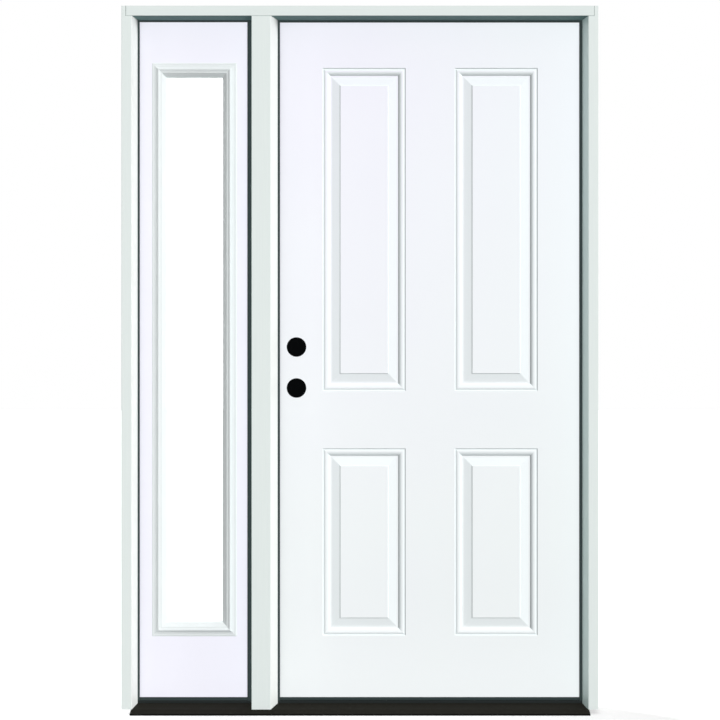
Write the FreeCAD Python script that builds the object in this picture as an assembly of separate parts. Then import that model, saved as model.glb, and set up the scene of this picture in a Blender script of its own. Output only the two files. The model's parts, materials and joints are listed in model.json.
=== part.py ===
import FreeCAD, Part
import math
import os

# Entry unit of an embossed steel door and one full-glass sidelight to its left, seen from outside.
# +X is to the right seen from outside, +Y goes indoors, +Z is up. The origin lies on the underside
# of the sill, on the plane of the frame's outer faces, in the middle of the frame's width.

# Frame of timber jambs
jamb_depth = 115.9
jamb_face = 30.0
jamb_back = 28.0
side_stop = 11.0
head_back = 20.0
head_stop = 9.5
head_housing = 12.6
mull_width = 59.0
mull_fixed_stop = 4.8
mull_door_stop = 9.9
mull_face_setback = 7.6
face_ease = 1.5
seam_width = 1.0
seam_depth = 1.5
seal_space = 5.5
kerf_width = 3.0
kerf_depth = 9.0
strike_height = 57.0
strike_width = 26.0
strike_depth = 22.0

# Door slab
door_width = 914.4
door_height = 2013.0
slab_thickness = 44.45
door_gap = 5.0
skin = 1.0
skin_flange = 9.0
lock_bevel = 2.3
stile_width = 30.0
rail_height = 30.0
lock_block_width = 70.0
lock_block_height = 290.0

# Embossed panels of the door
panel_side_margin = 137.9
panel_column_space = 145.5
panel_top_margin = 145.1
panel_bottom_margin = 182.8
panel_row_space = 170.2
lower_panel_height = 555.6
quirk_wall = 2.8
quirk_width = 8.0
quirk_depth = 2.4
ovolo_width = 14.5
ovolo_start = 0.6
ovolo_bulge = 1.6
recess_depth = 7.0
recess_floor = 5.0
bevel_width = 23.0
field_step = 2.2
field_step_width = 2.5
field_depth = 0.8

# Lock preparation
backset = 60.3
cross_bore_radius = 27.0
edge_bore_radius = 12.7
latch_height = 917.6
bore_spacing = 121.7

# Sidelight slab and its glazing
sidelight_width = 355.6
sidelight_fit = 1.0
sidelight_stile = 35.0
lite_side_margin = 52.2
lite_top_margin = 130.9
lite_bottom_margin = 180.5
lite_flange = 20.0
lite_fit = 2.0
glass_thickness = 3.2
glass_unit_thickness = 25.4
glass_edge_room = 3.0
spacer_width = 8.0

# Moulding of the glazing frames, each place inward from the outer edge and out of the slab's face
lite_edge = (0, 1.2)
lite_lip = (2.6, 2.4)
lite_border = (7.0, 2.6)
lite_cove = (13.0, 4.8)
lite_crest_start = (17.6, 8.9)
lite_crest_top = (19.6, 9.7)
lite_crest_end = (21.6, 8.9)
lite_step = (26.2, 6.3)
lite_ledge = (29.2, 6.0)
lite_sight_edge = (42.0, -6.0)

# Sill
sill_end_inset = 27.5
nosing_reach = 27.0
nosing_height = 4.4
deck_front_height = 12.5
deck_height = 17.8
deck_sheet = 2.0
cap_height = 7.7
cap_back_margin = 4.0
cap_ease = 2.0
sweep_space = 9.5

# Seals
seal_show = 6.5
hinge_seal_show = 9.0
mull_seal_show = 18.2
seal_running_gap = 0.6
sweep_running_gap = 1.0
sweep_base = 2.4
sweep_fin = 1.6
sweep_margin = 2.0
sweep_fin_count = 4
barb_side_gap = 0.4
barb_end_gap = 1.0

# Butt hinges
hinge_height = 101.6
leaf_thickness = 2.5
leaf_depth = 34.0
leaf_corner = 15.9
seat_clearance = 0.2
knuckle_radius = 6.5
knuckle_stand_off = 1.0
knuckle_count = 5
knuckle_gap = 0.5
pin_radius = 3.9
pin_running_gap = 0.05
pin_head_radius = 5.4
pin_head_height = 3.0
pin_head_chamfer = 0.8
pin_tip_length = 3.0
top_hinge_drop = 178.0
bottom_hinge_rise = 254.0

# Places across the unit, from the left jamb to the right one
overall_width = 2 * (jamb_back + sidelight_fit + door_gap) + sidelight_width + mull_width + door_width
frame_left = -overall_width / 2
frame_right = overall_width / 2
left_rabbet = frame_left + jamb_back
sidelight_left = left_rabbet + sidelight_fit
sidelight_right = sidelight_left + sidelight_width
mull_left = sidelight_right + sidelight_fit
mull_right = mull_left + mull_width
door_left = mull_right + door_gap
door_right = door_left + door_width
right_rabbet = door_right + door_gap

# Places up the unit
cap_top = deck_height + cap_height
slab_bottom = cap_top + sweep_space
slab_top = slab_bottom + door_height
head_rabbet = slab_top + door_gap
frame_top = head_rabbet + head_back
head_underside = head_rabbet - head_stop

# Places through the unit, from outside to indoors
slab_face = jamb_depth - slab_thickness
shoulder = slab_face - seal_space
slab_middle = slab_face + slab_thickness / 2

parts = {}


def point_across(depth):
    """Return a function that places (x, z) points on the plane at this depth."""
    return lambda x, z: FreeCAD.Vector(x, depth, z)


def point_in_plan(height):
    """Return a function that places (x, y) points on the level at this height."""
    return lambda x, y: FreeCAD.Vector(x, y, height)


def point_in_section(x):
    """Return a function that places (y, z) points on the upright section at this x."""
    return lambda y, z: FreeCAD.Vector(x, y, z)


def outline(start, steps, place):
    """Close a wire from start through the steps.

    A step that is one point is a straight run to it. A step that is a pair of points is an arc
    through the first to the second.
    """
    edges = []
    here = start
    for step in steps + [start]:
        if isinstance(step[0], tuple):
            middle, there = step
            edges.append(Part.Arc(place(*here), place(*middle), place(*there)).toShape())
        else:
            there = step
            edges.append(Part.LineSegment(place(*here), place(*there)).toShape())
        here = there
    return Part.Wire(edges)


def block(x0, x1, y0, y1, z0, z1):
    """Return a box from its six sides."""
    return Part.makeBox(x1 - x0, y1 - y0, z1 - z0, FreeCAD.Vector(x0, y0, z0))


def plan_prism(points, z0, z1):
    """Raise a plan of (x, y) points from z0 to z1."""
    wire = outline(points[0], points[1:], point_in_plan(z0))
    return Part.Face(wire).extrude(FreeCAD.Vector(0, 0, z1 - z0))


def long_prism(start, steps, x0, x1):
    """Run a section of (y, z) points along the unit from x0 to x1."""
    wire = outline(start, steps, point_in_section(x0))
    return Part.Face(wire).extrude(FreeCAD.Vector(x1 - x0, 0, 0))


def swept_round(x0, x1, z0, z1, face, outward, start, steps):
    """Sweep a closed section round an upright rectangle, with mitred corners.

    The section's points are (inward, out): inward from the rectangle's edge, and out of the face
    that lies at this depth. outward is -1 for a face that looks outdoors, and 1 for one indoors.
    """
    middle = (x0 + x1) / 2
    corners = [(middle, z0), (x1, z0), (x1, z1), (x0, z1), (x0, z0)]
    path = outline(corners[0], corners[1:], point_across(face))

    def place(inward, out):
        return FreeCAD.Vector(middle, face + outward * out, z0 + inward)

    section = outline(start, steps, place)
    return path.makePipeShell([section], True, False, 1).removeSplitter()


def eased(shape, radius, is_eased):
    """Round the straight edges whose middle passes the test."""
    chosen = [edge for edge in shape.Edges if is_eased(edge.CenterOfMass, edge)]
    return shape.makeFillet(radius, chosen)


def upright(edge):
    """Tell whether an edge runs up the unit."""
    first, last = edge.Vertexes[0].Point, edge.Vertexes[-1].Point
    return abs(first.z - last.z) > 0.9 * edge.Length


# Frame

def ground_under_legs():
    """Return the volume that the sloping sill takes from the legs' lower ends."""
    below = [(-nosing_reach, -1), (-nosing_reach, deck_front_height), (0, deck_front_height),
             (shoulder, deck_height), (jamb_depth + 1, deck_height), (jamb_depth + 1, -1)]
    return long_prism(below[0], below[1:], frame_left - 1, frame_right + 1)


def head_board():
    """Return the head: a rebated board whose ends are housed in the two side jambs."""
    section = [(0, head_underside), (shoulder, head_underside), (shoulder, head_rabbet),
               (jamb_depth, head_rabbet), (jamb_depth, frame_top), (0, frame_top)]
    return long_prism(section[0], section[1:], frame_left + head_housing, frame_right - head_housing)


def head_seam():
    """Return the fine open line round the head's ends and under it, where the jambs meet it."""
    return block(frame_left + head_housing - seam_width, frame_right - head_housing + seam_width,
                 0, seam_depth, head_underside - seam_width, frame_top)


def head_kerf():
    """Return the saw kerf that holds the seal over the door."""
    return block(mull_right, right_rabbet, shoulder - kerf_depth, shoulder,
                 head_rabbet - kerf_width, head_rabbet)


def side_jamb_plan(outer, inward):
    """Return the plan of a side jamb: a splayed stop in front of the rabbet."""
    across = [(0, 0), (jamb_face, 0), (jamb_back + side_stop, shoulder), (jamb_back, shoulder),
              (jamb_back, jamb_depth), (0, jamb_depth)]
    return [(outer + inward * a, y) for a, y in across]


def leg(plan):
    """Raise a jamb's plan, ease its outer face's edges, and fit it to sill and head."""
    post = plan_prism(plan, 0, frame_top)
    post = eased(post, face_ease, lambda middle, edge: upright(edge) and middle.y < 0.01)
    return post.cut([ground_under_legs(), head_board(), head_seam()])


def side_kerf(rabbet, inward):
    """Return the saw kerf that holds a door seal, beside a rabbet."""
    x0, x1 = sorted([rabbet, rabbet + inward * kerf_width])
    return block(x0, x1, shoulder - kerf_depth, shoulder, cap_top, head_underside)


def strike_pockets():
    """Return the two pockets in the mull that the latch and the bolt enter."""
    pockets = []
    for height in bore_heights:
        middle = slab_bottom + height
        pocket = block(mull_right - strike_depth, mull_right,
                       slab_middle - strike_width / 2, slab_middle + strike_width / 2,
                       middle - strike_height / 2, middle + strike_height / 2)
        pockets.append(pocket)
    return pockets


def mull_plan():
    """Return the plan of the post between sidelight and door."""
    return [(mull_left - mull_fixed_stop, 0), (mull_right - mull_face_setback, 0),
            (mull_right + mull_door_stop, shoulder), (mull_right, shoulder),
            (mull_right, jamb_depth), (mull_left, jamb_depth),
            (mull_left, shoulder), (mull_left - mull_fixed_stop, shoulder)]


bore_heights = [latch_height, latch_height + bore_spacing]
lowest_hinge = slab_bottom + bottom_hinge_rise + hinge_height / 2
highest_hinge = slab_top - top_hinge_drop - hinge_height / 2
hinge_middles = {"bottom_hinge": lowest_hinge, "middle_hinge": (lowest_hinge + highest_hinge) / 2,
                 "top_hinge": highest_hinge}


def leaf_seat(surface, into, middle, spare):
    """Return a leaf's plate, or with spare room round it the mortise that it lies in.

    surface is the x of the edge that the leaf is let into, and into is the side its body is on.
    """
    z0, z1 = middle - hinge_height / 2 - spare, middle + hinge_height / 2 + spare
    y0 = jamb_depth - leaf_depth - spare
    y1 = jamb_depth + knuckle_stand_off
    corner = leaf_corner + spare
    bend = corner * (1 - math.sqrt(0.5))
    wire = outline((y1, z0), [(y1, z1), (y0 + corner, z1),
                              ((y0 + bend, z1 - bend), (y0, z1 - corner)), (y0, z0 + corner),
                              ((y0 + bend, z0 + bend), (y0 + corner, z0))],
                   point_in_section(surface))
    return Part.Face(wire).extrude(FreeCAD.Vector(into * leaf_thickness, 0, 0))


parts["head_jamb"] = eased(head_board(), face_ease,
                           lambda middle, edge: middle.y < 0.01 and middle.z < frame_top - 0.01
                           ).cut(head_kerf())
parts["left_jamb"] = leg(side_jamb_plan(frame_left, 1))
jamb_seats = [leaf_seat(right_rabbet, 1, middle, seat_clearance) for middle in hinge_middles.values()]
right_leg = leg(side_jamb_plan(frame_right, -1))
parts["right_jamb"] = right_leg.cut(side_kerf(right_rabbet, -1)).cut(jamb_seats)
parts["mull_post"] = leg(mull_plan()).cut(side_kerf(mull_right, 1)).cut(strike_pockets())


# Sill, a bent metal deck over a moulded base, with a cap under each slab

def sill_pieces():
    """Return the deck and the base that fills it."""
    outer = [(-nosing_reach, 0), (-nosing_reach, nosing_height), (0, deck_front_height),
             (shoulder, deck_height), (jamb_depth, deck_height), (jamb_depth, 0)]
    nosing_slope = (deck_front_height - nosing_height) / nosing_reach
    inner = [(-nosing_reach + deck_sheet, 0),
             (-nosing_reach + deck_sheet, nosing_height - deck_sheet * (1 - nosing_slope)),
             (0, deck_front_height - deck_sheet), (shoulder, deck_height - deck_sheet),
             (jamb_depth - deck_sheet, deck_height - deck_sheet), (jamb_depth - deck_sheet, 0)]
    x0, x1 = frame_left + sill_end_inset, frame_right - sill_end_inset
    base = long_prism(inner[0], inner[1:], x0, x1)
    return long_prism(outer[0], outer[1:], x0, x1).cut(base), base


def threshold_cap(x0, x1):
    """Return the cap between two rabbets, with eased long edges."""
    cap = block(x0, x1, shoulder, jamb_depth - cap_back_margin, deck_height, cap_top)
    return eased(cap, cap_ease, lambda middle, edge: abs(middle.z - cap_top) < 0.01
                 and abs(middle.x - (x0 + x1) / 2) < 0.01)


parts["sill_deck"], parts["sill_base"] = sill_pieces()
parts["door_sill_cap"] = threshold_cap(mull_right, right_rabbet)
parts["sidelight_sill_cap"] = threshold_cap(left_rabbet, mull_left)
parts["sidelight_base_seal"] = block(sidelight_left, sidelight_right, slab_face + skin,
                                     jamb_depth - cap_back_margin - cap_ease, cap_top, slab_bottom)


# Seals that show as dark lines round both slabs

def door_seal_section(reach):
    """Return start and steps of a door seal: a foam strip with a round nose, and its barb."""
    front, back = shoulder, slab_face - seal_running_gap
    nose = (back - front) / 2
    barb = shoulder - kerf_depth + barb_end_gap
    steps = [(kerf_width - barb_side_gap, barb), (kerf_width - barb_side_gap, front),
             (reach - nose, front), ((reach, front + nose), (reach - nose, back)),
             (barb_side_gap, back)]
    return (barb_side_gap, barb), steps


def turned(start, steps, change):
    """Apply a change to every point of a section."""
    moved = [tuple(change(*p) for p in step) if isinstance(step[0], tuple) else change(*step)
             for step in steps]
    return change(*start), moved


def upright_door_seal(rabbet, inward, reach):
    """Return a seal that stands beside a rabbet."""
    start, steps = turned(*door_seal_section(reach), lambda a, y: (rabbet + inward * a, y))
    wire = outline(start, steps, point_in_plan(cap_top))
    rise = head_underside - cap_top
    return Part.Face(wire).extrude(FreeCAD.Vector(0, 0, rise))


def head_door_seal(x0, x1):
    """Return the seal under the head."""
    start, steps = turned(*door_seal_section(head_stop + seal_show), lambda a, y: (y, head_rabbet - a))
    return long_prism(start, steps, x0, x1)


head_seal = head_door_seal(mull_right, right_rabbet)
parts["door_head_seal"] = head_seal
parts["door_lock_seal"] = upright_door_seal(mull_right, 1, mull_door_stop + seal_show).cut(head_seal)
parts["door_hinge_seal"] = upright_door_seal(right_rabbet, -1, side_stop + hinge_seal_show).cut(head_seal)


def sidelight_seal(x0, x1, z0, z1):
    """Return a flat seal between a stop's shoulder and the sidelight's face."""
    return block(x0, x1, shoulder, slab_face, z0, z1)


side_seal_top = head_underside - seal_show
parts["sidelight_head_seal"] = sidelight_seal(sidelight_left, sidelight_right, side_seal_top, slab_top)
parts["sidelight_jamb_seal"] = sidelight_seal(sidelight_left, left_rabbet + side_stop + seal_show,
                                              cap_top, side_seal_top)
parts["sidelight_mull_seal"] = sidelight_seal(mull_left - mull_fixed_stop - mull_seal_show,
                                              sidelight_right, cap_top, side_seal_top)


# Door slab: two embossed steel skins over timber edges and a foam core

def lock_edge(depth):
    """Return the x of the bevelled lock edge at a depth behind the outer face."""
    return door_left + lock_bevel * (1 - depth / slab_thickness)


def square_edge(x):
    """Return a function like lock_edge for an edge without a bevel."""
    return lambda depth: x


def skin_plan(left_edge, right, outdoors):
    """Return the plan of a skin whose long edges are folded back along the slab's edges."""
    def at(depth):
        return depth if outdoors else slab_thickness - depth

    def left(depth, inset):
        return (left_edge(at(depth)) + inset, slab_face + at(depth))

    return [left(0, 0), (right, slab_face + at(0)), (right, slab_face + at(skin_flange)),
            (right - skin, slab_face + at(skin_flange)), (right - skin, slab_face + at(skin)),
            left(skin, skin), left(skin_flange, skin), left(skin_flange, 0)]


def embossing(drop):
    """Return the steps of a panel's surface from its outer line to its field, set back by drop."""
    wall_end = quirk_width + ovolo_width
    bevel_start = wall_end + recess_floor
    bevel_end = bevel_start + bevel_width
    chord_middle = (quirk_width + wall_end) / 2, (ovolo_start + recess_depth) / 2
    crown = chord_middle[0] + ovolo_bulge, ovolo_bulge - chord_middle[1]
    surface = [(quirk_wall, -quirk_depth), (quirk_width, -ovolo_start),
               (crown, (wall_end, -recess_depth)),
               (bevel_start, -recess_depth), (bevel_end, -field_depth - field_step),
               (bevel_end + field_step_width, -field_depth)]
    return turned((0, 0), surface, lambda inward, out: (inward, out - drop))


def reversed_steps(start, steps):
    """Return the same line from its other end."""
    ends = [start] + [step[1] if isinstance(step[0], tuple) else step for step in steps]
    back = []
    for index in range(len(steps) - 1, -1, -1):
        step = steps[index]
        back.append((step[0], ends[index]) if isinstance(step[0], tuple) else ends[index])
    return ends[-1], back


panel_ring = quirk_width + ovolo_width + recess_floor + bevel_width + field_step_width
panel_width = (door_width - 2 * panel_side_margin - panel_column_space) / 2
upper_panel_rise = panel_bottom_margin + lower_panel_height + panel_row_space
upper_panel_height = door_height - upper_panel_rise - panel_top_margin


def panel_shapes(x0, x1, z0, z1, face, outward):
    """Return a panel's embossed ring and field, and the die that presses it into the core."""
    front_start, front = embossing(0)
    back_start, back = embossing(skin)
    back_end, back_home = reversed_steps(back_start, back)
    ring = swept_round(x0, x1, z0, z1, face, outward, front_start, front + [back_end] + back_home)
    y0, y1 = sorted([face - outward * field_depth, face - outward * (field_depth + skin)])
    field = block(x0 + panel_ring, x1 - panel_ring, y0, y1, z0 + panel_ring, z1 - panel_ring)
    die_steps = [back_start] + back + [(panel_ring, 0)]
    die = swept_round(x0, x1, z0, z1, face, outward, (0, 0), die_steps)
    y0, y1 = sorted([face, face - outward * (field_depth + skin)])
    middle = block(x0 + panel_ring, x1 - panel_ring, y0, y1, z0 + panel_ring, z1 - panel_ring)
    return ring.fuse(field), [die, middle]


def panel_places():
    """Return the outlines of the four panels, two short ones under two tall ones."""
    middle = (door_left + door_right) / 2
    lower, upper = slab_bottom + panel_bottom_margin, slab_bottom + upper_panel_rise
    places = []
    for side in (-1, 1):
        column = middle + side * (panel_column_space + panel_width) / 2
        for bottom, height in ((lower, lower_panel_height), (upper, upper_panel_height)):
            places.append((column - panel_width / 2, column + panel_width / 2, bottom, bottom + height))
    return places


def cross_bores():
    """Return the two round holes for lock and bolt, through the slab."""
    return [Part.makeCylinder(cross_bore_radius, slab_thickness + 2,
                              FreeCAD.Vector(door_left + backset, slab_face - 1, slab_bottom + height),
                              FreeCAD.Vector(0, 1, 0)) for height in bore_heights]


def edge_bores():
    """Return the two holes from the lock edge into the cross bores."""
    return [Part.makeCylinder(edge_bore_radius, backset + 1,
                              FreeCAD.Vector(door_left - 1, slab_middle, slab_bottom + height),
                              FreeCAD.Vector(1, 0, 0)) for height in bore_heights]


def door_skin(outdoors):
    """Return an embossed skin of the door, and the dies that its panels press into the core."""
    outward = -1 if outdoors else 1
    face = slab_face if outdoors else jamb_depth
    sheet = plan_prism(skin_plan(lock_edge, door_right, outdoors), slab_bottom, slab_top)
    panels, dies = [], []
    for x0, x1, z0, z1 in panel_places():
        panel, die = panel_shapes(x0, x1, z0, z1, face, outward)
        y0, y1 = sorted([face, face - outward * skin])
        sheet = sheet.cut(block(x0, x1, y0, y1, z0, z1))
        panels.append(panel)
        dies += die
    whole = sheet.fuse(panels).removeSplitter().cut(cross_bores())
    return whole, dies


outer_skin, outer_dies = door_skin(True)
inner_skin, inner_dies = door_skin(False)
door_seats = [leaf_seat(door_right, -1, middle, seat_clearance) for middle in hinge_middles.values()]
parts["door_outer_skin"] = outer_skin
parts["door_inner_skin"] = inner_skin.cut(door_seats)

inside_front = slab_face + skin
inside_back = jamb_depth - skin
lock_stile_plan = [(lock_edge(skin) + skin, inside_front), (door_left + stile_width, inside_front),
                   (door_left + stile_width, inside_back),
                   (lock_edge(slab_thickness - skin) + skin, inside_back)]
lock_stile = plan_prism(lock_stile_plan, slab_bottom, slab_top)
parts["door_lock_stile"] = lock_stile.cut(edge_bores())
hinge_stile = block(door_right - stile_width, door_right - skin, inside_front, inside_back,
                    slab_bottom, slab_top)
parts["door_hinge_stile"] = hinge_stile.cut(door_seats)

core_left, core_right = door_left + stile_width, door_right - stile_width
core_bottom, core_top = slab_bottom + rail_height, slab_top - rail_height
parts["door_bottom_rail"] = block(core_left, core_right, inside_front, inside_back,
                                  slab_bottom, core_bottom)
parts["door_top_rail"] = block(core_left, core_right, inside_front, inside_back, core_top, slab_top)
block_middle = slab_bottom + latch_height + bore_spacing / 2
lock_block = block(core_left, core_left + lock_block_width, inside_front, inside_back,
                   block_middle - lock_block_height / 2, block_middle + lock_block_height / 2)
parts["door_lock_block"] = lock_block.cut(cross_bores() + edge_bores())
core = block(core_left, core_right, inside_front, inside_back, core_bottom, core_top)
parts["door_core"] = core.cut([lock_block] + outer_dies + inner_dies)


def bottom_sweep():
    """Return the sweep under the door: a base with soft fins that wipe the cap."""
    x0, x1 = door_left + sweep_margin + lock_bevel, door_right - sweep_margin
    y0, y1 = slab_face + sweep_margin, jamb_depth - cap_back_margin - cap_ease
    fin_bottom = cap_top + sweep_running_gap
    base = block(x0, x1, y0, y1, slab_bottom - sweep_base, slab_bottom)
    pitch = (y1 - y0 - sweep_fin) / (sweep_fin_count - 1)
    fronts = [y0 + pitch * index for index in range(sweep_fin_count)]
    fins = [block(x0, x1, front, front + sweep_fin, fin_bottom, slab_bottom - sweep_base)
            for front in fronts]
    return base.fuse(fins).removeSplitter()


parts["door_bottom_sweep"] = bottom_sweep()


# Sidelight slab: flat steel skins, timber edges, foam, and a glazed light

lite_x0, lite_x1 = sidelight_left + lite_side_margin, sidelight_right - lite_side_margin
lite_z0, lite_z1 = slab_bottom + lite_bottom_margin, slab_top - lite_top_margin
hole_x0, hole_x1 = lite_x0 + lite_flange, lite_x1 - lite_flange
hole_z0, hole_z1 = lite_z0 + lite_flange, lite_z1 - lite_flange
light_hole = block(hole_x0, hole_x1, slab_face - 1, jamb_depth + 1, hole_z0, hole_z1)
for name, outdoors in (("sidelight_outer_skin", True), ("sidelight_inner_skin", False)):
    plan = skin_plan(square_edge(sidelight_left), sidelight_right, outdoors)
    parts[name] = plan_prism(plan, slab_bottom, slab_top).cut(light_hole)

left_of_core, right_of_core = sidelight_left + sidelight_stile, sidelight_right - sidelight_stile
parts["sidelight_left_stile"] = block(sidelight_left + skin, left_of_core, inside_front, inside_back,
                                      slab_bottom, slab_top)
parts["sidelight_right_stile"] = block(right_of_core, sidelight_right - skin, inside_front, inside_back,
                                       slab_bottom, slab_top)
parts["sidelight_bottom_rail"] = block(left_of_core, right_of_core, inside_front, inside_back,
                                       slab_bottom, core_bottom)
parts["sidelight_top_rail"] = block(left_of_core, right_of_core, inside_front, inside_back,
                                    core_top, slab_top)
parts["sidelight_core"] = block(left_of_core, right_of_core, inside_front, inside_back,
                                core_bottom, core_top).cut(light_hole)

glass_inset = (slab_thickness - glass_unit_thickness) / 2
glass_x0, glass_x1 = hole_x0 + glass_edge_room, hole_x1 - glass_edge_room
glass_z0, glass_z1 = hole_z0 + glass_edge_room, hole_z1 - glass_edge_room


def lite_moulding_section():
    """Return the moulding of a glazing frame, from its lip over its crest to a leg on the glass."""
    leg_inward = lite_flange + lite_fit
    steps = [lite_edge, lite_lip, lite_border, lite_cove, lite_crest_start,
             (lite_crest_top, lite_crest_end), lite_step, lite_ledge, lite_sight_edge,
             (lite_sight_edge[0], -glass_inset), (leg_inward, -glass_inset), (leg_inward, 0)]
    return (0, 0), steps


for name, face, outward in (("outer_lite_frame", slab_face, -1), ("inner_lite_frame", jamb_depth, 1)):
    parts[name] = swept_round(lite_x0, lite_x1, lite_z0, lite_z1, face, outward,
                              *lite_moulding_section())

glass_front, glass_back = slab_face + glass_inset, jamb_depth - glass_inset
parts["outer_glass"] = block(glass_x0, glass_x1, glass_front, glass_front + glass_thickness,
                             glass_z0, glass_z1)
parts["inner_glass"] = block(glass_x0, glass_x1, glass_back - glass_thickness, glass_back,
                             glass_z0, glass_z1)
spacer_outer = block(glass_x0, glass_x1, glass_front + glass_thickness, glass_back - glass_thickness,
                     glass_z0, glass_z1)
spacer_inner = block(glass_x0 + spacer_width, glass_x1 - spacer_width, glass_front, glass_back,
                     glass_z0 + spacer_width, glass_z1 - spacer_width)
parts["glass_spacer"] = spacer_outer.cut(spacer_inner)


# Butt hinges on the right, their barrels indoors

pin_x = (door_right + right_rabbet) / 2
pin_y = jamb_depth + knuckle_radius + knuckle_stand_off
knuckle_pitch = (hinge_height + knuckle_gap) / knuckle_count
knuckle_length = knuckle_pitch - knuckle_gap


def hinge_leaf(surface, into, middle, first_knuckle):
    """Return a leaf with every other knuckle of the barrel, bored for the pin."""
    pieces = []
    bottom = middle - hinge_height / 2
    plate_x0, plate_x1 = sorted([surface, surface + into * leaf_thickness])
    for index in range(first_knuckle, knuckle_count, 2):
        z0 = bottom + index * knuckle_pitch
        pieces.append(Part.makeCylinder(knuckle_radius, knuckle_length,
                                        FreeCAD.Vector(pin_x, pin_y, z0)))
        pieces.append(block(plate_x0, plate_x1, jamb_depth, pin_y, z0, z0 + knuckle_length))
    plate = leaf_seat(surface, into, middle, 0)
    foot = FreeCAD.Vector(pin_x, pin_y, bottom)
    reach_of_barrel = Part.makeCylinder(knuckle_radius + knuckle_gap, hinge_height, foot)
    hole = Part.makeCylinder(pin_radius + pin_running_gap, hinge_height, foot)
    return plate.cut(reach_of_barrel).fuse(pieces).cut(hole).removeSplitter()


def hinge_pin(middle):
    """Return a pin with a flat chamfered head on the barrel and a tip under it."""
    bottom, top = middle - hinge_height / 2, middle + hinge_height / 2
    shank = Part.makeCylinder(pin_radius, hinge_height + pin_tip_length,
                              FreeCAD.Vector(pin_x, pin_y, bottom - pin_tip_length))
    disc_height = pin_head_height - pin_head_chamfer
    disc = Part.makeCylinder(pin_head_radius, disc_height, FreeCAD.Vector(pin_x, pin_y, top))
    chamfer = Part.makeCone(pin_head_radius, pin_head_radius - pin_head_chamfer, pin_head_chamfer,
                            FreeCAD.Vector(pin_x, pin_y, top + disc_height))
    return shank.fuse([disc, chamfer]).removeSplitter()


for name, middle in hinge_middles.items():
    parts[name + "_frame_leaf"] = hinge_leaf(right_rabbet, 1, middle, 0)
    parts[name + "_door_leaf"] = hinge_leaf(door_right, -1, middle, 1)
parts["hinge_pins"] = Part.makeCompound([hinge_pin(middle) for middle in hinge_middles.values()])

os.makedirs("parts", exist_ok=True)
for name, shape in parts.items():
    shape.exportStep("parts/" + name + ".step")
    print(name, len(shape.Solids), round(shape.Volume / 1000, 1), shape.isValid())
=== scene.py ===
import bmesh
import bpy
import json
import math
from mathutils import Matrix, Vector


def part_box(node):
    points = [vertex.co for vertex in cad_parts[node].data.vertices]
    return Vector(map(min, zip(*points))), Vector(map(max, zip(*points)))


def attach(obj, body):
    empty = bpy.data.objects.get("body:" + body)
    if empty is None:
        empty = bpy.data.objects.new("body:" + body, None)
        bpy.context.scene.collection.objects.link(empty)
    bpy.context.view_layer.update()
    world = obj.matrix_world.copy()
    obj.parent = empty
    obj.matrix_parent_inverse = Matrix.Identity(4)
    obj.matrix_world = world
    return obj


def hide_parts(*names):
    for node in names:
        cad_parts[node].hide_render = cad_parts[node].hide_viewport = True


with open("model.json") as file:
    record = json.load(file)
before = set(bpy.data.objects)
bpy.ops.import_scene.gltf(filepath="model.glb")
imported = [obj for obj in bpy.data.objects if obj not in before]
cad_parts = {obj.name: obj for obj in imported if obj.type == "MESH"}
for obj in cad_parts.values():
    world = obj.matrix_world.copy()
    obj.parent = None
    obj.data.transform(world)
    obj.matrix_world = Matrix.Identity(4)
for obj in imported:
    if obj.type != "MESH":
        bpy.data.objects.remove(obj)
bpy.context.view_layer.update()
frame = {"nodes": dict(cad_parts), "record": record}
nodes = frame["nodes"]

# The view and the studio. The unit is seen square on from outside, from five metres, at half its
# height. Distant lamps stand in front and behind, and of the front ones only a faint one casts a
# shadow. The surrounding is white, and the floor is pale paper.
view_distance = 5.0
view_height = 1.0357
lens = 85.4

eye = bpy.data.cameras.new("eye")
eye.lens = lens
eye_object = bpy.data.objects.new("eye", eye)
eye_object.location = (0, -view_distance, view_height)
eye_object.rotation_euler = (math.radians(90), 0, 0)
bpy.context.scene.collection.objects.link(eye_object)
bpy.context.scene.camera = eye_object
bpy.context.scene.view_settings.view_transform = "Standard"


def lamp(name, strength, spread, turn, rise, shadow):
    """Hang a distant lamp. In degrees: its spread, its turn to the viewer's right, and its rise."""
    light = bpy.data.lights.new(name, "SUN")
    light.energy = strength
    light.angle = math.radians(spread)
    light.use_shadow = shadow
    hung = bpy.data.objects.new(name, light)
    hung.rotation_euler = (math.radians(90 - rise), 0, math.radians(turn))
    bpy.context.scene.collection.objects.link(hung)


lamp("relief_lamp", 2.8, 12, 54, 29, False)
lamp("front_lamp", 0.9, 30, 0, 5, False)
lamp("left_lamp", 0.13, 30, -60, 10, False)
lamp("shadow_lamp", 0.13, 30, 20, 45, True)
lamp("rear_relief_lamp", 2.8, 12, -126, 29, True)
lamp("rear_lamp", 0.9, 30, 180, 5, True)


class Flow:
    """A shader socket that can be added, multiplied and compared like a number."""

    def __init__(self, tree, socket):
        self.tree = tree
        self.socket = socket

    def maths(self, operation, *values):
        """Work out one operation on these values."""
        node = self.tree.nodes.new("ShaderNodeMath")
        node.operation = operation
        for socket, value in zip(node.inputs, values):
            feed(self.tree, socket, value)
        return Flow(self.tree, node.outputs[0])

    def __add__(self, other):
        return self.maths("ADD", self, other)

    def __radd__(self, other):
        return self.maths("ADD", other, self)

    def __sub__(self, other):
        return self.maths("SUBTRACT", self, other)

    def __rsub__(self, other):
        return self.maths("SUBTRACT", other, self)

    def __mul__(self, other):
        return self.maths("MULTIPLY", self, other)

    def __rmul__(self, other):
        return self.maths("MULTIPLY", other, self)

    def __gt__(self, other):
        return self.maths("GREATER_THAN", self, other)

    def __lt__(self, other):
        return self.maths("LESS_THAN", self, other)

    def __abs__(self):
        return self.maths("ABSOLUTE", self)


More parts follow.
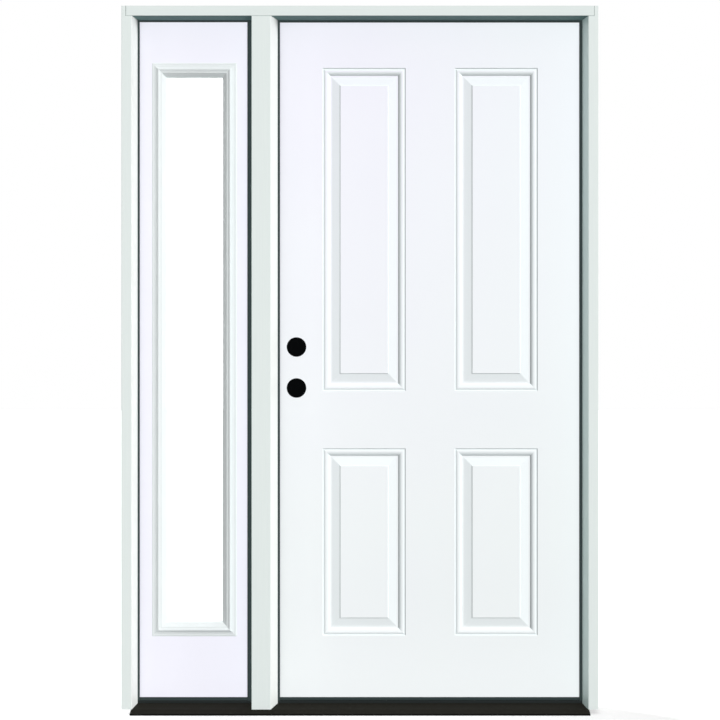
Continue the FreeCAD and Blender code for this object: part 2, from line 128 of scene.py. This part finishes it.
def feed(tree, socket, value):
    """Link a flow to a socket, or set the socket to a plain value."""
    if isinstance(value, Flow):
        tree.links.new(value.socket, socket)
    else:
        socket.default_value = value


class Finish:
    """The nodes of one finish. Their holder is a material, or else the world."""

    def __init__(self, name, world=None):
        self.holder = world or bpy.data.materials.new(name)
        self.holder.use_nodes = True
        self.tree = self.holder.node_tree
        if world is None:
            self.shader = self.tree.nodes["Principled BSDF"]

    def node(self, kind, settings=None, sockets=None, out=0):
        """Add a node with its settings and sockets, and return one of its outputs."""
        node = self.tree.nodes.new(kind)
        for name, value in (settings or {}).items():
            setattr(node, name, value)
        for name, value in (sockets or {}).items():
            feed(self.tree, node.inputs[name], value)
        return None if out is None else Flow(self.tree, node.outputs[out])

    def set(self, **values):
        """Set the shader's own sockets. An underscore stands for a space in a socket's name."""
        for name, value in values.items():
            feed(self.tree, self.shader.inputs[name.replace("_", " ")], value)

    def noise(self, scale, stretch=(1, 1, 1), detail=2, roughness=0.5):
        """Return a soft random pattern from 0 to 1, on the object's own coordinates."""
        where = self.node("ShaderNodeTexCoord", out="Object")
        place = self.node("ShaderNodeMapping", sockets={"Vector": where, "Scale": stretch})
        return self.node("ShaderNodeTexNoise", out="Fac", sockets={
            "Vector": place, "Scale": scale, "Detail": detail, "Roughness": roughness})

    def blend(self, share, first, second):
        """Return the colour between two colours."""
        return self.node("ShaderNodeMix", {"data_type": "RGBA"},
                         {"Factor": share, 6: first, 7: second}, out=2)

    def toned(self, colour, strength):
        """Return a colour made darker or paler."""
        return self.node("ShaderNodeVectorMath", {"operation": "SCALE"},
                         {0: colour, "Scale": strength})

    def share(self, value, start, end):
        """Return how far a value has come from start to end, from 0 to 1."""
        return self.node("ShaderNodeMapRange",
                         sockets={"Value": value, "From Min": start, "From Max": end})

    def limited(self, value):
        """Return a value held between 0 and 1."""
        return self.node("ShaderNodeClamp", sockets={"Value": value})

    def highest(self, first, second):
        """Return the larger of two flows."""
        return first.maths("MAXIMUM", first, second)

    def coordinate(self, axis):
        """Return one of the object's own coordinates."""
        where = self.node("ShaderNodeTexCoord", out="Object")
        return self.node("ShaderNodeSeparateXYZ", sockets={0: where}, out=axis)

    def turned(self, axis, sign):
        """Return how far the surface is turned to one side of the object, from 0 to 1."""
        normal = self.node("ShaderNodeTexCoord", out="Normal")
        part = self.node("ShaderNodeSeparateXYZ", sockets={0: normal}, out=axis)
        return self.highest(sign * part, 0)

    def seen_directly(self):
        """Return 1 for what is looked at, also through glass, and 0 for light that bounces."""
        camera, through = [self.node("ShaderNodeLightPath", out=ray)
                           for ray in ("Is Camera Ray", "Is Transmission Ray")]
        return self.highest(camera, through)

    def mottle(self, pattern, dark, pale, roughness, unevenness):
        """Vary colour and sheen by a pattern, from dark and smoother to pale and rougher."""
        self.set(Base_Color=self.blend(pattern, dark, pale),
                 Roughness=roughness + unevenness * pattern)

    def relief(self, height, depth):
        """Bump the surface by a height pattern that is this many metres deep."""
        self.set(Normal=self.node("ShaderNodeBump", sockets={"Height": height, "Distance": depth}))


white = (1, 1, 1, 1)
black = (0, 0, 0, 1)
room_level = 0.255
room_rise = 0.04

sky = Finish("sky", bpy.context.scene.world or bpy.data.worlds.new("sky"))
bpy.context.scene.world = sky.holder
sky.tree.nodes.clear()
seen = sky.seen_directly()
direction = sky.node("ShaderNodeTexCoord", out="Generated")
upward = sky.node("ShaderNodeSeparateXYZ", sockets={0: direction}, out="Z")
sky_strength = seen + (1 - seen) * (room_level + room_rise * upward)
glow = sky.node("ShaderNodeBackground", sockets={"Color": white, "Strength": sky_strength})
sky.node("ShaderNodeOutputWorld", sockets={"Surface": glow}, out=None)

floor_size = 60
paper_pale = (0.9, 0.9, 0.9, 1)
paper_bounce = (0.12, 0.12, 0.12, 1)

bpy.ops.object.select_all(action="DESELECT")
bpy.ops.mesh.primitive_plane_add(size=floor_size, location=(0, 0, 0))
floor = bpy.context.object
floor.name = "floor"
paper = Finish("pale_paper")
looked_at = paper.seen_directly()
paper.set(Base_Color=paper.blend(looked_at, paper_bounce, paper_pale), Roughness=0.9,
          Emission_Color=paper.blend(looked_at, black, white), Emission_Strength=0.15)
floor.data.materials.append(paper.holder)

# The frame: two side jambs, a head and the post beside the door, all milled from finger-jointed
# pine, screwed together and sprayed with a satin white primer that leaves a little of the grain's
# ripple. Returns that face right carry painted light, with a painted shadow of the head near the
# top, those that face left a greenish painted shade tint, and the seams at the head's ends painted
# shade.
jamb_white = (0.74, 0.797, 0.778, 1)
jamb_shade = (0.712, 0.773, 0.754, 1)
return_painted_light = (0.822, 0.842, 0.818, 1)
return_painted_shade_tint = (0.7, 0.84, 0.81, 1)
joint_painted_shade = (0.27, 0.31, 0.3, 1)
head_low, head_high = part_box("head_jamb")
joint_inward = 0.0006
joint_outward = 0.001
return_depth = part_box("door_outer_skin")[0][1]
head_shadow_reach = 0.06
head_shadow_strength = 0.72
grain_band = (0.35, 0.65)
grain_weight = 0.6
ripple_depth = 0.0002
satin_roughness = 0.42
satin_unevenness = 0.1


def dress(names, finish):
    """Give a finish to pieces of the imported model."""
    for name in names:
        nodes[name].material_slots[0].material = finish.holder


def frame_primer(paint, stretch):
    """Return the frame's white with its grain, painted light and shade on returns and seams, and the
    soft patches that change its sheen.
    """
    ripple = paint.noise(scale=4, stretch=stretch, detail=4)
    patch = paint.noise(scale=6)
    line = paint.share(ripple, *grain_band)
    face = paint.blend(line * grain_weight + patch * (1 - grain_weight), jamb_shade, jamb_white)
    # Painted light on returns that face right, and a greenish painted shade tint on those that face
    # left.
    face = paint.blend(paint.turned("X", 1), face, return_painted_light)
    face = paint.blend(paint.turned("X", -1), face, return_painted_shade_tint)
    aside, depth, level = [paint.coordinate(axis) for axis in ("X", "Y", "Z")]
    # Painted shadow that the head casts on the returns that face right.
    corner = paint.share(depth + level - head_low[2], 0, head_shadow_reach)
    corner = corner * corner * paint.turned("X", 1) * (depth < return_depth)
    face = paint.toned(face, 1 - head_shadow_strength * corner)
    # Painted shade in the seams beside the head's ends.
    past_head = abs(aside) - head_high[0]
    joint = (past_head > -joint_inward) * (past_head < joint_outward) * (level > head_low[2])
    paint.relief(ripple, ripple_depth)
    return paint.blend(joint, face, joint_painted_shade), patch


jamb_paint = Finish("jamb_paint")
jamb_tone, jamb_patch = frame_primer(jamb_paint, (60, 60, 1.5))
jamb_paint.set(Base_Color=jamb_tone, Roughness=satin_roughness + satin_unevenness * jamb_patch,
               Specular_IOR_Level=0.4)
dress(["left_jamb", "right_jamb", "mull_post"], jamb_paint)

# The head is the same timber, laid flat between the side jambs. Its underside, which hardly any
# light reaches, carries painted shade, a dark tone, and is duller.
underside_band = 0.0006
underside_painted_shade = (0.15, 0.24, 0.235, 1)
underside_dulling = 0.3

head_paint = Finish("head_paint")
head_tone, head_patch = frame_primer(head_paint, (1.5, 60, 60))
# Painted shade on the head's underside.
underside = ((head_paint.coordinate("Z") < head_low[2] + underside_band)
             * (head_paint.coordinate("Y") > underside_band))
head_sheen = satin_roughness + satin_unevenness * head_patch + underside_dulling * underside
head_paint.set(Base_Color=head_paint.blend(underside, head_tone, underside_painted_shade),
               Roughness=head_sheen, Specular_IOR_Level=0.2)
dress(["head_jamb"], head_paint)

# The slabs' skins: thin steel sheet, the door's pressed with four raised panels, coated in the
# factory with a smooth white primer. It is faintly violet, and on the door cooler towards the
# hinges and the floor. Where the sheet is pressed to a slope it carries a greener painted shade
# tint.
primer_violet = (0.826, 0.822, 0.905, 1)
primer_pale = (0.832, 0.86, 0.9, 1)
primer_cool = (0.82, 0.858, 0.862, 1)
primer_slope_shade_tint = (0.815, 0.872, 0.882, 1)
tone_levels = (0.6, 1.8)
tone_widths = (0.3, 0.8)
level_weight = 0.8
cloud_weight = 0.3
cloud_shift = 0.05
slope_edge = 20
orange_peel_depth = 0.00004

# Seen from outside, a slab carries painted shade beside its left stop and on slopes that face
# left, and painted light near the head and the sill.
slope_painted_shade = 0.75
stop_reach = 0.13
stop_painted_shade = 0.19
head_reach = 0.148
head_painted_light = 0.1
sill_reach = 0.36
sill_painted_light = 0.08


def slab_primer(name, skin, right_tone, foot_tone):
    """Return a slab's primer: violet at its upper left, with other tones to the right and below, and
    painted light and shade on its outer face.
    """
    low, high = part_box(skin)
    paint = Finish(name)
    aside, level = paint.coordinate("X"), paint.coordinate("Z")
    cloud = paint.noise(scale=3)
    upper = paint.share(level, *tone_levels) * level_weight + cloud * cloud_weight - cloud_shift
    start, end = [low[0] * (1 - width) + high[0] * width for width in tone_widths]
    upper_tone = paint.blend(paint.share(aside, start, end), primer_violet, right_tone)
    # Painted shade beside the left stop and on slopes that face left, and painted light near head
    # and sill, on the outer face only.
    near_stop = paint.share(aside, low[0] + stop_reach, low[0])
    near_head = paint.share(level, high[2] - head_reach, high[2])
    near_sill = paint.share(level, low[2] + sill_reach, low[2])
    leftward = paint.turned("X", -1)
    outdoors = paint.turned("Y", -1) > 0
    shade = 1 + outdoors * (
        head_painted_light * near_head * near_head + sill_painted_light * near_sill * near_sill
        - stop_painted_shade * near_stop * near_stop - slope_painted_shade * leftward * leftward)
    # A greener painted shade tint on every slope.
    outward = paint.turned("Y", -1) + paint.turned("Y", 1)
    slope = paint.limited((1 - outward * outward) * slope_edge)
    tone = paint.blend(slope, paint.blend(paint.limited(upper), foot_tone, upper_tone), primer_slope_shade_tint)
    paint.set(Base_Color=paint.toned(tone, shade), Roughness=0.34 + 0.08 * cloud,
              Specular_IOR_Level=0.45)
    paint.relief(paint.noise(scale=900, detail=1), orange_peel_depth)
    return paint


dress(["door_outer_skin", "door_inner_skin"],
      slab_primer("door_primer", "door_outer_skin", primer_pale, primer_cool))
dress(["sidelight_outer_skin", "sidelight_inner_skin"],
      slab_primer("sidelight_primer", "sidelight_outer_skin", primer_violet, primer_violet))

# The glazing frames: two moulded white plastic frames, screwed together through the slab, that
# clamp the glass from both sides. Their walls above the glass face down and carry painted light,
# a tone lighter.
lite_white = (0.71, 0.745, 0.75, 1)
lite_shade = (0.695, 0.735, 0.74, 1)
lite_wall_painted_light = 0.4
lite_texture_depth = 0.00003

lite_plastic = Finish("lite_plastic")
lite_cloud = lite_plastic.noise(scale=8)
lite_tone = lite_plastic.blend(lite_cloud, lite_shade, lite_white)
# Painted light on the faces that look down.
lite_painted_light_scale = 1 + lite_wall_painted_light * lite_plastic.turned("Z", -1)
lite_plastic.set(Base_Color=lite_plastic.toned(lite_tone, lite_painted_light_scale),
                 Roughness=0.36 + 0.1 * lite_cloud, Specular_IOR_Level=0.35)
lite_plastic.relief(lite_plastic.noise(scale=600, detail=1), lite_texture_depth)
dress(["outer_lite_frame", "inner_lite_frame"], lite_plastic)

# The glass: a sealed unit of two clear panes, held apart by a thin metal spacer round its edge
# and clamped between the glazing frames.
glass = Finish("clear_glass")
glass.set(Base_Color=(0.99, 1.0, 0.995, 1), Roughness=0.0, IOR=1.45, Transmission_Weight=1.0)
dress(["outer_glass", "inner_glass"], glass)

spacer_metal = Finish("spacer_metal")
spacer_metal.set(Base_Color=(0.72, 0.73, 0.74, 1), Metallic=1.0,
                 Roughness=0.35 + 0.1 * spacer_metal.noise(scale=40))
dress(["glass_spacer"], spacer_metal)

# The slabs' edges: planed pine stiles and rails between the skins, with a block at the locks. The
# grain of stiles and block runs up, and that of rails across.
pine_light = (0.76, 0.63, 0.44, 1)
pine_dark = (0.63, 0.48, 0.3, 1)
pine_grain_depth = 0.0003


def timber(name, stretch):
    """Return a planed timber whose grain is stretched by these scales."""
    wood = Finish(name)
    grain = wood.noise(scale=5, stretch=stretch, detail=5, roughness=0.6)
    line = wood.share(grain, *grain_band)
    wood.set(Base_Color=wood.blend(line, pine_dark, pine_light), Roughness=0.6 + 0.15 * grain)
    wood.relief(grain, pine_grain_depth)
    return wood


dress(["door_lock_stile", "door_hinge_stile", "sidelight_left_stile", "sidelight_right_stile",
       "door_lock_block"], timber("upright_pine", (30, 30, 1.2)))
dress(["door_bottom_rail", "door_top_rail", "sidelight_bottom_rail", "sidelight_top_rail"],
      timber("level_pine", (1.2, 30, 30)))

# The slabs' cores: rigid foam, poured between skins and edges, that fills the rest and shows its
# fine cells where it is cut.
foam_dark = (0.70, 0.62, 0.40, 1)
foam_pale = (0.82, 0.76, 0.55, 1)
cell_depth = 0.0004

foam = Finish("rigid_foam")
cells = foam.noise(scale=700)
foam.set(Base_Color=foam.blend(cells, foam_dark, foam_pale), Roughness=0.9)
foam.relief(cells, cell_depth)
dress(["door_core", "sidelight_core"], foam)

# The seals: foam with a dark, matt skin, pushed into a kerf beside the rabbet or laid flat behind
# the stop, and a dark sweep of soft fins under the door.
seal_texture_depth = 0.0002

seal = Finish("seal_skin")
seal_grain = seal.noise(scale=500)
seal.mottle(seal_grain, dark=(0.024, 0.037, 0.037, 1), pale=(0.044, 0.061, 0.061, 1),
            roughness=0.75, unevenness=0.2)
seal.set(Specular_IOR_Level=0.15)
seal.relief(seal_grain, seal_texture_depth)
dress(["sidelight_base_seal", "sidelight_head_seal", "sidelight_jamb_seal", "sidelight_mull_seal",
       "door_lock_seal", "door_hinge_seal", "door_head_seal", "door_bottom_sweep"], seal)

# The sill: a bent aluminium deck in a dark bronze finish over a moulded base, and a moulded cap
# under each slab. The lowest few millimetres of the deck's nosing carry painted shade, darker still.
bronze_dark = (0.009, 0.0085, 0.006, 1)
bronze_pale = (0.018, 0.017, 0.013, 1)
nosing_shade_height = 0.0045
nosing_painted_shade = (0.002, 0.002, 0.0015, 1)
sill_texture_depth = 0.0002

bronze = Finish("bronze_deck")
drawn = bronze.noise(scale=6, stretch=(1, 90, 90), detail=4)
bronze_tone = bronze.blend(drawn, bronze_dark, bronze_pale)
# Painted shade on the lowest millimetres of the nosing.
bronze.set(Base_Color=bronze.blend(bronze.coordinate("Z") < nosing_shade_height, bronze_tone, nosing_painted_shade),
           Roughness=0.7 + 0.2 * drawn, Specular_IOR_Level=0.06)
bronze.relief(drawn, sill_texture_depth)
dress(["sill_deck"], bronze)

moulded = Finish("moulded_base")
pores = moulded.noise(scale=300)
moulded.mottle(pores, dark=(0.008, 0.011, 0.011, 1), pale=(0.017, 0.023, 0.023, 1),
               roughness=0.65, unevenness=0.2)
moulded.set(Specular_IOR_Level=0.15)
moulded.relief(pores, sill_texture_depth)
dress(["sill_base", "door_sill_cap", "sidelight_sill_cap"], moulded)

# The plugs: a flat black moulded cap in each lock bore on both faces, a dark piece that stands in
# for the shade inside the open bores. Each is a shallow dish with a rounded rim over a skirt that
# grips the bore.
plug_rim = 0.029
plug_rise = 0.0009
plug_dish = 0.0235
plug_dish_depth = 0.0005
plug_skirt = 0.0266
plug_skirt_depth = 0.008
plug_wall = 0.0016
plug_sides = 72
plug_round = plug_rise * 0.4
plug_texture_depth = 0.0001

# The caps' black stands in for the shade inside the open bores.
bore_shade_black = Finish("bore_shade_black")
plug_cloud = bore_shade_black.noise(scale=160, detail=3)
bore_shade_black.mottle(plug_cloud, dark=(0.0012, 0.0015, 0.0016, 1), pale=(0.0022, 0.0026, 0.003, 1),
                  roughness=0.8, unevenness=0.15)
bore_shade_black.set(Specular_IOR_Level=0.02)
bore_shade_black.relief(plug_cloud, plug_texture_depth)


def alone(piece):
    """Make this piece the only one that is selected, and the one that is worked on."""
    bpy.ops.object.mode_set(mode="OBJECT")
    bpy.ops.object.select_all(action="DESELECT")
    piece.select_set(True)
    bpy.context.view_layer.objects.active = piece


# A face looks up or down when its normal does by more than this share. An edge is at the top past
# this share of the piece's rise, and it is sharp past this angle.
facing = 0.9
near_top = 0.9
sharp_edge = 40


def pick(piece, kind, test):
    """Select in edit mode only the faces or edges of a piece that pass a test."""
    if piece.mode != "EDIT":
        bpy.ops.object.mode_set(mode="EDIT")
    bpy.ops.mesh.select_mode(type=kind)
    bpy.ops.mesh.select_all(action="DESELECT")
    mesh = bmesh.from_edit_mesh(piece.data)
    for item in (mesh.faces if kind == "FACE" else mesh.edges):
        if test(item):
            item.select_set(True)
    mesh.select_flush_mode()
    bmesh.update_edit_mesh(piece.data)


def smooth(piece, angle):
    """Leave edit mode, keep the piece's place in its mesh, and shade it smooth up to an angle."""
    alone(piece)
    bpy.ops.object.transform_apply(location=True, rotation=True, scale=True)
    bpy.ops.object.shade_smooth_by_angle(angle=math.radians(angle))


def fit(piece, name, finish, body):
    """Name a finished piece, give it its finish, and let it ride on its body."""
    piece.name = name
    piece.data.materials.clear()
    piece.data.materials.append(finish.holder)
    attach(piece, body)


def twin(piece, move, turn=None):
    """Return a copy of a finished piece, with its own mesh, turned and then moved."""
    other = piece.copy()
    other.data = piece.data.copy()
    bpy.context.scene.collection.objects.link(other)
    if turn is not None:
        other.data.transform(turn)
    other.data.transform(Matrix.Translation(move))
    return other


def turned_blank(sides, radius, low, high):
    """Add a round blank about the upright axis between two heights, ready to be shaped."""
    bpy.ops.object.select_all(action="DESELECT")
    bpy.ops.mesh.primitive_cylinder_add(vertices=sides, radius=radius, depth=high - low,
                                        end_fill_type="NGON", location=(0, 0, (low + high) / 2))
    blank = bpy.context.object
    alone(blank)
    bpy.ops.object.transform_apply(location=True, rotation=True, scale=True)
    return blank


plug = turned_blank(plug_sides, plug_rim, 0, plug_rise)
pick(plug, "FACE", lambda face: face.normal.z > facing)
bpy.ops.mesh.inset(thickness=plug_rim - plug_dish, depth=0)
bpy.ops.mesh.inset(thickness=plug_dish_depth, depth=-plug_dish_depth)
pick(plug, "FACE", lambda face: face.normal.z < -facing)
bpy.ops.mesh.inset(thickness=plug_rim - plug_skirt, depth=0)
bpy.ops.mesh.extrude_region_move(TRANSFORM_OT_translate={"value": (0, 0, -plug_skirt_depth)})
bpy.ops.mesh.inset(thickness=plug_wall, depth=0)
bpy.ops.mesh.extrude_region_move(TRANSFORM_OT_translate={"value": (0, 0, plug_skirt_depth)})
pick(plug, "EDGE", lambda edge: edge.calc_face_angle(0) > math.radians(sharp_edge)
     and min(vert.co.z for vert in edge.verts) > plug_rise * near_top)
bpy.ops.mesh.bevel(offset=plug_round, segments=3)
smooth(plug, 35)

bore_places = [mount["pos_m"] for mount in frame["record"]["mounts"]
               if mount["name"] in ("deadbolt_bore", "lock_bore")]
outer_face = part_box("door_outer_skin")[0][1]
inner_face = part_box("door_inner_skin")[1][1]
for index, (bore_x, _, bore_z) in enumerate(bore_places):
    for side, face, turn in (("outer", outer_face, 90), ("inner", inner_face, -90)):
        cap = twin(plug, (bore_x, face, bore_z), Matrix.Rotation(math.radians(turn), 4, "X"))
        fit(cap, f"bore_plug_{side}_{index + 1}", bore_shade_black, "door")
bpy.data.objects.remove(plug)

# The hinges: three pressed steel butt hinges in a satin plating, brushed up and down. One leaf is
# screwed to the jamb and one to the slab's edge, and a pin joins their knuckles.
hinge_levels = ("bottom", "middle", "top")
brush_depth = 0.00005

satin = Finish("satin_plate")
brushed = satin.noise(scale=4, stretch=(300, 300, 8), detail=3)
satin.mottle(brushed, dark=(0.50, 0.49, 0.47, 1), pale=(0.66, 0.65, 0.63, 1),
             roughness=0.28, unevenness=0.14)
satin.set(Metallic=1.0)
satin.relief(brushed, brush_depth)
dress([f"{level}_hinge_{leaf}_leaf" for level in hinge_levels for leaf in ("frame", "door")]
      + ["hinge_pins"], satin)

# The hinge screws: four flat-headed screws in each leaf, staggered as the holes of such leaves
# are. Each head is a bevelled disc with a cross recess, and stands a hair proud of the leaf.
screw_radius = 0.0046
screw_rise = 0.0003
screw_sunk = 0.0009
screw_sides = 40
screw_round = screw_rise * 0.8
recess_length = 0.0058
recess_width = 0.0011
recess_sunk = 0.0007
cutter_height = 0.002
screw_rows = ((-0.038, 0.0115), (-0.0135, 0.0255), (0.0135, 0.0255), (0.038, 0.0115))

screw = turned_blank(screw_sides, screw_radius, -screw_sunk, screw_rise)
pick(screw, "EDGE", lambda edge: min(vert.co.z for vert in edge.verts) > 0)
bpy.ops.mesh.bevel(offset=screw_round, segments=2)
bpy.ops.object.mode_set(mode="OBJECT")


def block(low, high):
    """Add a block between two corners, ready to be shaped."""
    bpy.ops.object.select_all(action="DESELECT")
    bpy.ops.mesh.primitive_cube_add(size=1, location=[(a + b) / 2 for a, b in zip(low, high)])
    cube = bpy.context.object
    cube.scale = [b - a for a, b in zip(low, high)]
    alone(cube)
    bpy.ops.object.transform_apply(location=True, rotation=True, scale=True)
    return cube


recess_floor = screw_rise - recess_sunk
cross = block((-recess_width / 2, -recess_width / 2, recess_floor),
              (recess_width / 2, recess_width / 2, recess_floor + cutter_height))
pick(cross, "FACE", lambda face: abs(face.normal.z) < facing)
arm = (recess_length - recess_width) / 2
bpy.ops.mesh.extrude_faces_move(TRANSFORM_OT_shrink_fatten={"value": arm})
bpy.ops.object.mode_set(mode="OBJECT")
alone(screw)
recess = screw.modifiers.new("recess", "BOOLEAN")
recess.object = cross
recess.operation = "DIFFERENCE"
recess.solver = "EXACT"
bpy.ops.object.modifier_apply(modifier=recess.name)
smooth(screw, 35)

door_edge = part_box("door_outer_skin")[1][0]
hinge_gap = 0.005

for level in hinge_levels:
    low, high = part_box(f"{level}_hinge_frame_leaf")
    middle_z = (low[2] + high[2]) / 2
    for body, plate_x, turn in (("frame", door_edge + hinge_gap, -90), ("door", door_edge, 90)):
        for index, (up, inward) in enumerate(screw_rows):
            head = twin(screw, (plate_x, inner_face - inward, middle_z + up),
                        Matrix.Rotation(math.radians(turn), 4, "Y"))
            fit(head, f"{level}_{body}_screw_{index + 1}", satin, body)

# The sill's adjusting screws: the same heads, of the same plated steel, stand in the cap under the
# door, and raise or lower it until the sweep just touches.
cap_low, cap_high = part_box("door_sill_cap")
adjuster_margin = 0.075
adjuster_count = 5
adjuster_step = (cap_high[0] - cap_low[0] - 2 * adjuster_margin) / (adjuster_count - 1)
for index in range(adjuster_count):
    head = twin(screw, (cap_low[0] + adjuster_margin + index * adjuster_step,
                        (cap_low[1] + cap_high[1]) / 2, cap_high[2]))
    fit(head, f"sill_adjuster_{index + 1}", satin, "frame")
bpy.data.objects.remove(screw)
bpy.data.objects.remove(cross)

# The corner pads: two blocks of dark foam, glued to the rabbets beside the sill, which close the
# corners under the door's seals. Each has rounded edges and a sloping top.
pad_low = cap_high[2]
pad_height = 0.052
pad_thickness = 0.003
pad_front = 0.0725
pad_back = 0.1105
pad_slope = 0.012
pad_round = 0.0009


def corner_pad(name, rabbet, inward):
    """Model a foam pad that stands on the sill's cap against a rabbet."""
    left, right = sorted((rabbet, rabbet + inward * pad_thickness))
    pad = block((left, pad_front, pad_low), (right, pad_back, pad_low + pad_height))
    pick(pad, "EDGE", lambda edge: min(vert.co.z for vert in edge.verts) > pad_low + pad_height / 2
         and min(vert.co.y for vert in edge.verts) > (pad_front + pad_back) / 2)
    bpy.ops.transform.translate(value=(0, 0, -pad_slope))
    bpy.ops.mesh.select_all(action="SELECT")
    bpy.ops.mesh.bevel(offset=pad_round, segments=3)
    smooth(pad, 40)
    fit(pad, name, seal, "frame")


corner_pad("lock_corner_pad", cap_low[0], 1)
corner_pad("hinge_corner_pad", cap_high[0], -1)

# The sidelight's seals: flat foam strips, squeezed between the stops and the fixed slab. They
# bulge past the stops with a rounded edge, and the upright ones run up to the one under the head.
strip_trim = 0.0016
jamb_strip_trim = 0.0009
strip_round = 0.0018
shortest_strip = 0.1

for side in ("jamb", "mull", "head"):
    node = f"sidelight_{side}_seal"
    low, high = [list(corner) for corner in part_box(node)]
    if side == "head":
        low[2] += strip_trim
    else:
        high[2] += strip_trim
    if side == "jamb":
        high[0] -= jamb_strip_trim
    if side == "mull":
        low[0] += strip_trim
    strip = block(low, high)
    pick(strip, "EDGE", lambda edge: edge.calc_length() > shortest_strip
         and max(vert.co.y for vert in edge.verts) < (low[1] + high[1]) / 2)
    bpy.ops.mesh.bevel(offset=strip_round, segments=4)
    smooth(strip, 40)
    fit(strip, f"sidelight_{side}_foam", seal, "frame")
    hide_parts(node)

# The glazing frame's caps: small domed discs over the screws that draw the two frames together,
# pushed into the indoor frame's border.
cover_radius = 0.0042
cover_foot = 0.0012
cover_rise = 0.0048
cover_sides = 32
cover_round = cover_radius * 0.35
cover_inset = 0.010
covers_per_side = 7
cross_shares = (0.3, 0.7)

cover = turned_blank(cover_sides, cover_radius, cover_foot, cover_rise)
pick(cover, "EDGE", lambda edge: min(vert.co.z for vert in edge.verts) > cover_rise * near_top)
bpy.ops.mesh.bevel(offset=cover_round, segments=4)
smooth(cover, 40)

lite_low, lite_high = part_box("inner_lite_frame")
left, right = lite_low[0] + cover_inset, lite_high[0] - cover_inset
foot, top = lite_low[2] + cover_inset, lite_high[2] - cover_inset
rows = [foot + (top - foot) * (index + 0.5) / covers_per_side for index in range(covers_per_side)]
spots = [(x, z) for x in (left, right) for z in rows]
spots += [(left + (right - left) * share, z) for share in cross_shares for z in (foot, top)]
for index, (x, z) in enumerate(spots):
    disc = twin(cover, (x, inner_face, z), Matrix.Rotation(math.radians(-90), 4, "X"))
    fit(disc, f"lite_screw_cover_{index + 1}", lite_plastic, "frame")
bpy.data.objects.remove(cover)
